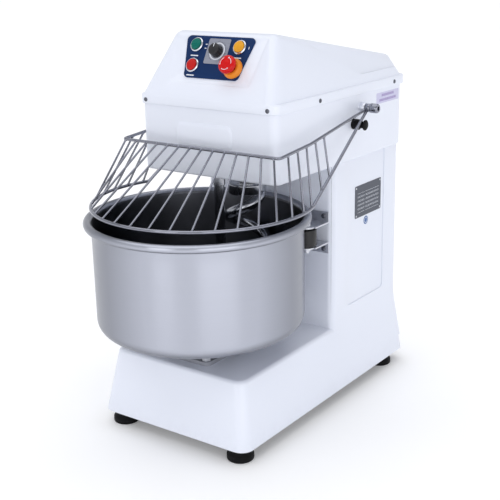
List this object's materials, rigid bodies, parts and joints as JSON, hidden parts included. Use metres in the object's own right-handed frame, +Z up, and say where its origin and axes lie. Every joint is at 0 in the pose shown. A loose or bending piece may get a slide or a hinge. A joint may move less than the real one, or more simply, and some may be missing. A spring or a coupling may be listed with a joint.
{
  "type": "spiral dough mixer",
  "caption": "Floor-standing spiral dough mixer: turning bowl, spiral hook and breaker bar under a fixed head, lifting wire guard, sloped control panel, belt drive in base, column and head.",
  "frame": {"origin": "on the floor under the middle of the machine, halfway between the bowl rim's front and the hood's rear", "axes": "the bowl and panel face -Y, +X is the machine's left-hand side seen from behind it (right in a front view), +Z is up"},
  "size_m": [0.4304, 0.735, 0.7631],
  "materials": {
    "white_paint": "white powder coat, satin gloss",
    "frame_steel": "dark primer",
    "rubber": "moulded, matt",
    "belt_rubber": "moulded, matt",
    "roller_rubber": "turned, satin",
    "zinc_steel": "bright zinc",
    "ground_steel": "ground",
    "cast_iron": "painted casting",
    "stainless": "spun and polished",
    "hook_steel": "polished",
    "chrome_wire": "bright",
    "boss_metal": "satin",
    "panel_blue": null,
    "dial_metal": "satin dial plate",
    "nameplate_metal": "grey, blank",
    "black_plastic": "moulded",
    "bezel_chrome": "bright",
    "collar_yellow": "moulded",
    "green_plastic": "moulded",
    "red_plastic": "moulded",
    "yellow_plastic": "moulded",
    "estop_red": "moulded",
    "motor_paint": "grey-blue enamel",
    "box_plastic": "moulded"
  },
  "bodies": {
    "frame": {"body_shell": "white_paint", "base_frame": "frame_steel", "feet": "rubber", "foot_studs": "zinc_steel", "drive_plate": "frame_steel", "column_frame": "frame_steel", "rear_cover": "white_paint", "head_shell": "white_paint", "head_plate": "frame_steel", "hood": "white_paint", "cover_screws": "zinc_steel", "control_plate": "panel_blue", "dial_plate": "dial_metal", "switch_bodies": "black_plastic", "button_bezels": "bezel_chrome", "estop_collar": "collar_yellow", "guard_bosses": "boss_metal", "guard_bumpers": "rubber", "guard_switch": "black_plastic", "bowl_bearings": "cast_iron", "drive_bolts": "zinc_steel", "mid_axle": "ground_steel", "counter_bearings": "cast_iron", "hook_bearing": "cast_iron", "motor_stator": "motor_paint", "motor_plate": "frame_steel", "control_box": "box_plastic", "cable_gland": "black_plastic", "breaker_bar": "hook_steel", "roller_brackets": "zinc_steel", "roller_axles": "zinc_steel", "nameplate": "nameplate_metal", "motor_belt": "belt_rubber", "hook_belt": "belt_rubber", "lower_belt": "belt_rubber", "bowl_belt": "belt_rubber"},
    "bowl": {"bowl": "stainless", "bowl_flange": "cast_iron", "bowl_shaft": "ground_steel", "bowl_pulley": "cast_iron"},
    "hook": {"spiral_hook": "hook_steel", "hook_spindle": "ground_steel", "hook_pulley": "cast_iron"},
    "mid_pulley": {"mid_pulley": "cast_iron"},
    "countershaft": {"counter_shaft": "ground_steel", "counter_pulleys": "cast_iron"},
    "motor_rotor": {"motor_shaft": "ground_steel", "motor_pulley": "cast_iron"},
    "guard": {"guard_frame": "chrome_wire", "guard_wires": "chrome_wire", "guard_pins": "chrome_wire", "guard_cam": "zinc_steel"},
    "start_button": {"start_button": "green_plastic"},
    "stop_button": {"stop_button": "red_plastic"},
    "jog_button": {"jog_button": "yellow_plastic"},
    "estop_stem": {"estop_stem": "estop_red"},
    "estop_cap": {"estop_cap": "estop_red"},
    "timer_knob": {"timer_knob": "black_plastic"},
    "guide_roller_left": {"guide_roller_left": "roller_rubber"},
    "guide_roller_right": {"guide_roller_right": "roller_rubber"}
  },
  "joints": [
    {"name": "bowl_spin", "type": "hinge", "parent": "frame", "child": "bowl", "pos_m": [0, -0.1525, 0.206], "axis": [0, 0, 1], "continuous": true},
    {"name": "mid_spin", "type": "hinge", "parent": "frame", "child": "mid_pulley", "pos_m": [0, 0.0125, 0.07], "axis": [0, 0, 1], "continuous": true},
    {"name": "counter_spin", "type": "hinge", "parent": "frame", "child": "countershaft", "pos_m": [-0.06, 0.1775, 0.3], "axis": [0, 0, 1], "continuous": true},
    {"name": "hook_spin", "type": "hinge", "parent": "frame", "child": "hook", "pos_m": [0.012, -0.0095, 0.47], "axis": [0, 0, 1], "continuous": true},
    {"name": "motor_spin", "type": "hinge", "parent": "frame", "child": "motor_rotor", "pos_m": [0.06, 0.2575, 0.4], "axis": [0, 0, 1], "continuous": true},
    {"name": "roller_left_spin", "type": "hinge", "parent": "frame", "child": "guide_roller_left", "pos_m": [-0.12665, 0.02837, 0.3645], "axis": [0, 0, 1], "continuous": true},
    {"name": "roller_right_spin", "type": "hinge", "parent": "frame", "child": "guide_roller_right", "pos_m": [0.12665, 0.02837, 0.3645], "axis": [0, 0, 1], "continuous": true},
    {"name": "guard_lift", "type": "hinge", "parent": "frame", "child": "guard", "pos_m": [0, 0.1805, 0.602], "axis": [-1, 0, 0], "range_deg": [0, 110]},
    {"name": "start_press", "type": "slide", "parent": "frame", "child": "start_button", "axis": [0, 0.8734, -0.487], "range_m": [0, 0.004], "stiffness_N_per_m": 300, "springref_m": -0.003},
    {"name": "stop_press", "type": "slide", "parent": "frame", "child": "stop_button", "axis": [0, 0.8734, -0.487], "range_m": [0, 0.004], "stiffness_N_per_m": 300, "springref_m": -0.003},
    {"name": "jog_press", "type": "slide", "parent": "frame", "child": "jog_button", "axis": [0, 0.8734, -0.487], "range_m": [0, 0.004], "stiffness_N_per_m": 300, "springref_m": -0.003},
    {"name": "estop_press", "type": "slide", "parent": "frame", "child": "estop_stem", "axis": [0, 0.8734, -0.487], "range_m": [0, 0.005], "stiffness_N_per_m": 900, "springref_m": -0.003},
    {"name": "estop_twist", "type": "hinge", "parent": "estop_stem", "child": "estop_cap", "pos_m": [0.048, -0.11071, 0.71199], "axis": [0, 0.8734, -0.487], "range_deg": [0, 45], "stiffness_Nm_per_rad": 0.05, "springref_deg": -17.19},
    {"name": "timer_turn", "type": "hinge", "parent": "frame", "child": "timer_knob", "pos_m": [0, -0.08289, 0.73312], "axis": [0, 0.8734, -0.487], "range_deg": [0, 300]}
  ],
  "couplings": [
    {"joint": "mid_spin", "follows": "bowl_spin", "ratio": 3},
    {"joint": "counter_spin", "follows": "bowl_spin", "ratio": 16.8},
    {"joint": "hook_spin", "follows": "bowl_spin", "ratio": 7.56},
    {"joint": "motor_spin", "follows": "bowl_spin", "ratio": 56},
    {"joint": "roller_left_spin", "follows": "bowl_spin", "ratio": -10.02},
    {"joint": "roller_right_spin", "follows": "bowl_spin", "ratio": -10.02}
  ]
}
